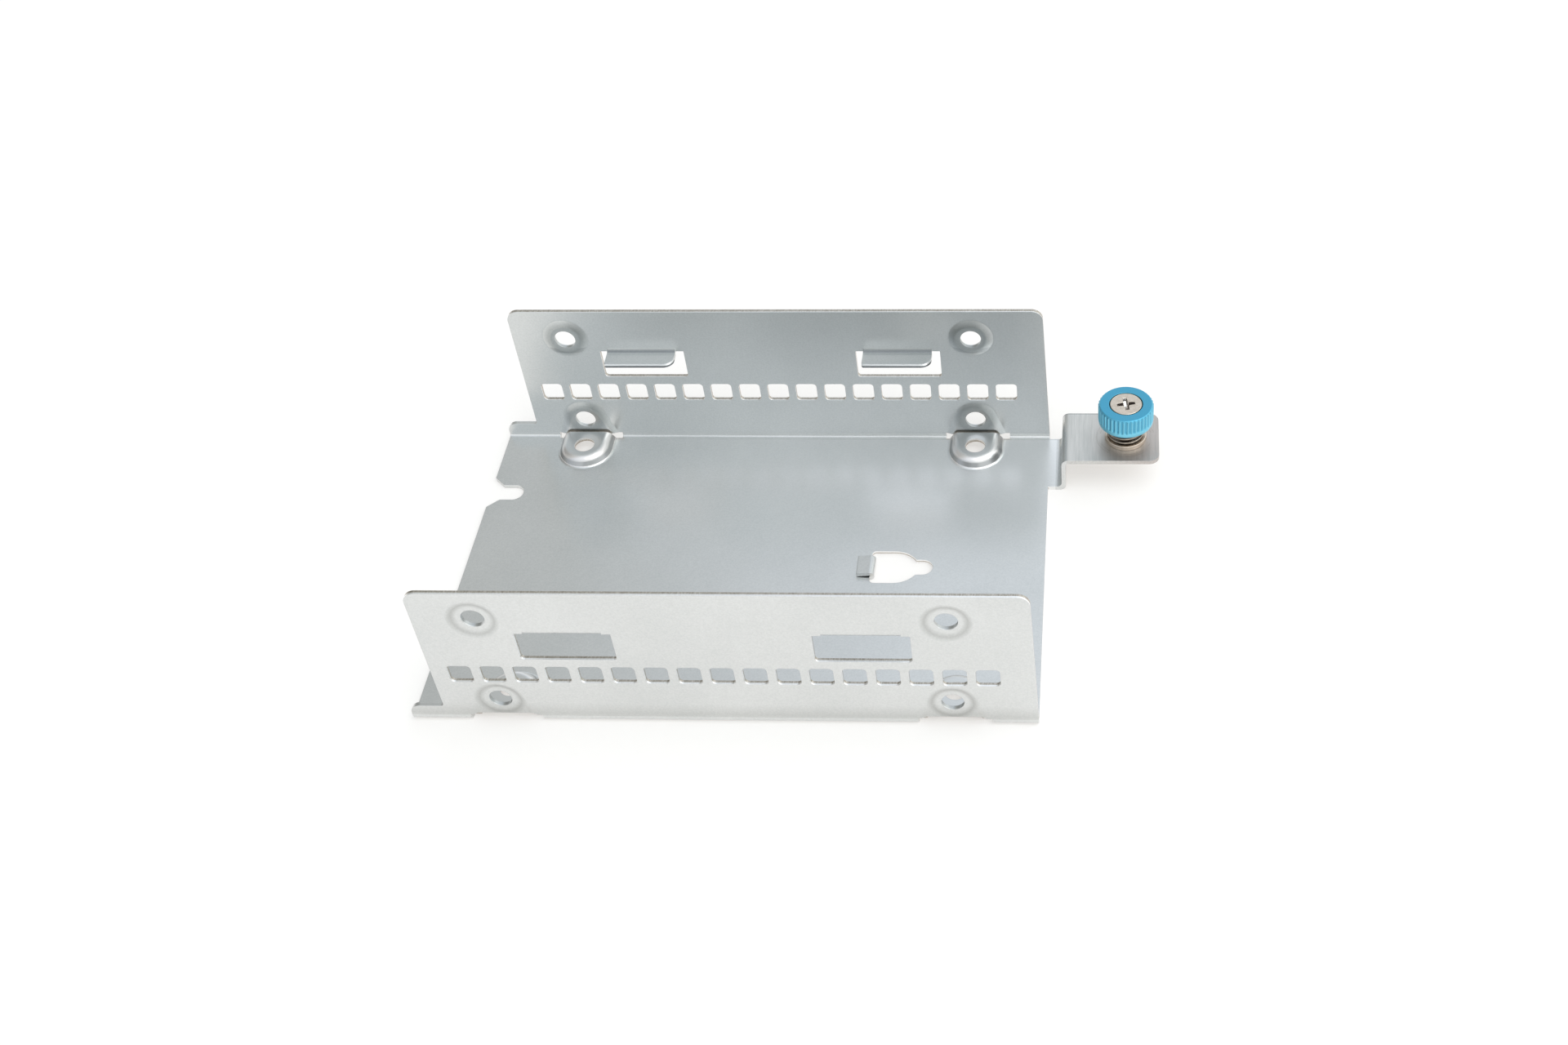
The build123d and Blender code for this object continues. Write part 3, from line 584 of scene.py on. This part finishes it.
def blue_anodised():
    """Turned aluminium, anodised sky blue. The turned top is painted a deeper blue than the fluted side, painted
    shade, and the flutes are painted darker toward their bottoms, painted shade; all are satin, with fine
    turning marks that show as a faint grain. The underside is painted a neutral grey, painted shade."""
    material, tree = new_material("blue_anodised_aluminium")
    place = add(tree, "ShaderNodeTexCoord")
    here, facing = place.outputs["Object"], place.outputs["Normal"]
    grain = add(tree, "ShaderNodeTexNoise", {"Scale": 3000.0, "Detail": 2.0}, {"Vector": here}).outputs["Fac"]
    lift = add(tree, "ShaderNodeSeparateXYZ", links={0: facing}).outputs[2]
    # Painted shade: the more a face looks up, the deeper the blue it is painted, so the top is darker than the
    # side.
    tone = add(tree, "ShaderNodeMath", {1: 0.12}, {0: grain, 2: lift}, operation="MULTIPLY_ADD")
    tint = ramp(tree, tone.outputs[0], [(0.35, "#7ECCE4"), (0.85, "#5BB0CE"), (1.0, "#4FA4C4")])
    reach = from_screw(tree, here)
    # Painted shade: the flutes are painted darker toward their bottoms.
    depth = add(tree, "ShaderNodeMapRange", {"From Min": (KNOB_R - 0.22) * MM, "From Max": KNOB_R * MM},
                {"Value": reach})
    painted_groove_shade = ramp(tree, depth.outputs[0], [(0.0, "#A8CCDA"), (0.35, "#DCEAF0"), (0.85, "#FFFFFF")])
    fluted = both(tree, over(tree, reach, (KNOB_R - 0.25) * MM), under(tree, lift, 0.5))
    tint = times(tree, fluted, tint, painted_groove_shade)
    # Painted shade: faces that look down are painted a neutral grey in place of the blue.
    tint = blend(tree, under(tree, lift, -0.5), tint, "#979B9C")
    bump = add(tree, "ShaderNodeBump", {"Strength": 0.10, "Distance": 0.01 * MM}, {"Height": grain})
    finish_surface(tree, {"Metallic": 0.8, "Roughness": 0.32},
                   {"Base Color": tint, "Normal": bump.outputs["Normal"]})
    return material


def studio_floor():
    """Matte white paper sweep: it keeps a faint shadow, and its own light takes it to white."""
    material, tree = new_material("white_studio_paper")
    path = add(tree, "ShaderNodeLightPath")
    paper = add(tree, "ShaderNodeBsdfDiffuse", {"Color": linear("#CFCFCE")})
    glow = add(tree, "ShaderNodeEmission", {"Color": linear("#FFF9F4"), "Strength": 0.40})
    lit = add(tree, "ShaderNodeAddShader", links={0: paper.outputs[0], 1: glow.outputs[0]})
    seen = either(tree, path.outputs["Is Camera Ray"], path.outputs["Is Glossy Ray"],
                  path.outputs["Is Transmission Ray"])
    mix = add(tree, "ShaderNodeMixShader", links={"Fac": seen, 1: paper.outputs[0], 2: lit.outputs[0]})
    add(tree, "ShaderNodeOutputMaterial", links={"Surface": mix.outputs[0]})
    return material


# Object

sheet_steel = galvanised_sheet()
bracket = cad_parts["cage_bracket"]
for slot in bracket.material_slots:
    slot.material = sheet_steel

nickel = nickel_plate()
ring = make_retainer()
ring.data.materials.append(nickel)
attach(ring, "cage")
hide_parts("retainer")

screw = make_screw()
screw.data.materials.append(nickel)
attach(screw, "thumbscrew")
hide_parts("screw")

knob = make_knob()
knob.data.materials.append(blue_anodised())
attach(knob, "thumbscrew")
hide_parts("knob")

spring = make_spring()
spring.data.materials.append(spring_wire())
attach(spring, "cage")
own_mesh(spring)
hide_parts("spring")


# Studio

def make_floor():
    """Round sheet of paper just under the object: point (i, j) is the radius i at the angle j."""
    columns, gap = 96, 0.01
    radii = np.array([0.2, 1.0, 3.0, 8.0])[:, None] / MM
    angle = once_round(columns)
    points = np.stack([radii * np.cos(angle), radii * np.sin(angle), 0 * radii * angle - gap], -1)
    points = points.reshape(-1, 3)
    faces = grid_faces(len(radii), columns, False)[:, ::-1].tolist() + [tuple(range(columns))]
    floor = piece("studio_floor", points, faces)
    floor.data.materials.append(studio_floor())


def soft_lamp(name, place, aim, size, power, colour):
    """Square soft box at a place, facing the aim point; places and size in metres."""
    lamp = bpy.data.lights.new(name, "AREA")
    lamp.shape = "SQUARE"
    lamp.size = size
    lamp.energy = power
    lamp.color = linear(colour)[:3]
    obj = bpy.data.objects.new(name, lamp)
    bpy.context.scene.collection.objects.link(obj)
    obj.location = place
    way = np.array(aim) - np.array(place)
    level = math.hypot(way[0], way[1])
    obj.rotation_euler = (math.atan2(level, -way[2]), 0, math.atan2(way[1], way[0]) - math.pi / 2)


def make_world():
    """Pale, slightly cool studio walls all round. The corner behind on the left is less lit than the rest, and a
    darker gap runs across the front between the overhead light and the front wall."""
    world = bpy.data.worlds.new("studio")
    bpy.context.scene.world = world
    world.use_nodes = True
    tree = world.node_tree
    tree.nodes.clear()
    way = add(tree, "ShaderNodeTexCoord").outputs["Generated"]

    def toward(direction):
        """Cosine of the angle between the way looked and a direction."""
        return add(tree, "ShaderNodeVectorMath", {1: direction}, {0: way},
                   operation="DOT_PRODUCT").outputs["Value"]

    walls = ramp(tree, toward((-0.80, 0.35, 0.48)),
                 [(0.0, "#FBFFFF"), (0.1, "#EEF3F7"), (0.40, "#DFE4E7"), (0.62, "#DAE1E8"), (0.71, "#C8CED5"),
                  (0.805, "#B5B7B4"), (1.0, "#848483")])
    off_gap = add(tree, "ShaderNodeMath", links={0: toward((0.0, 0.714, 0.70))}, operation="ABSOLUTE")
    gap = ramp(tree, off_gap.outputs[0], [(0.04, "#CDD1D5"), (0.16, "#FFFFFF")])
    front = ramp(tree, toward((0.0, -0.70, 0.714)), [(0.35, "#000000"), (0.65, "#FFFFFF")])
    sky = add(tree, "ShaderNodeBackground", {"Strength": 1.3}, {"Color": times(tree, front, walls, gap)})
    add(tree, "ShaderNodeOutputWorld", links={"Surface": sky.outputs[0]})


def make_camera():
    """The photograph's camera, looking down at the cage from the front and right through a 42 mm lens."""
    data = bpy.data.cameras.new("camera")
    data.lens = 42.4622
    data.shift_x = -0.15104
    data.clip_start = 0.01
    data.clip_end = 30.0
    camera = bpy.data.objects.new("camera", data)
    bpy.context.scene.collection.objects.link(camera)
    camera.location = (0.064055, -0.232662, 0.244285)
    camera.rotation_euler = [math.radians(a) for a in (45.1255, 1.7351, 2.0853)]
    bpy.context.scene.camera = camera


make_floor()
soft_lamp("key", (0.45, -0.25, 0.95), (0, 0, 0), 0.8, 2.4, "#FFFFFF")
make_world()
make_camera()
bpy.context.scene.view_settings.view_transform = "Standard"
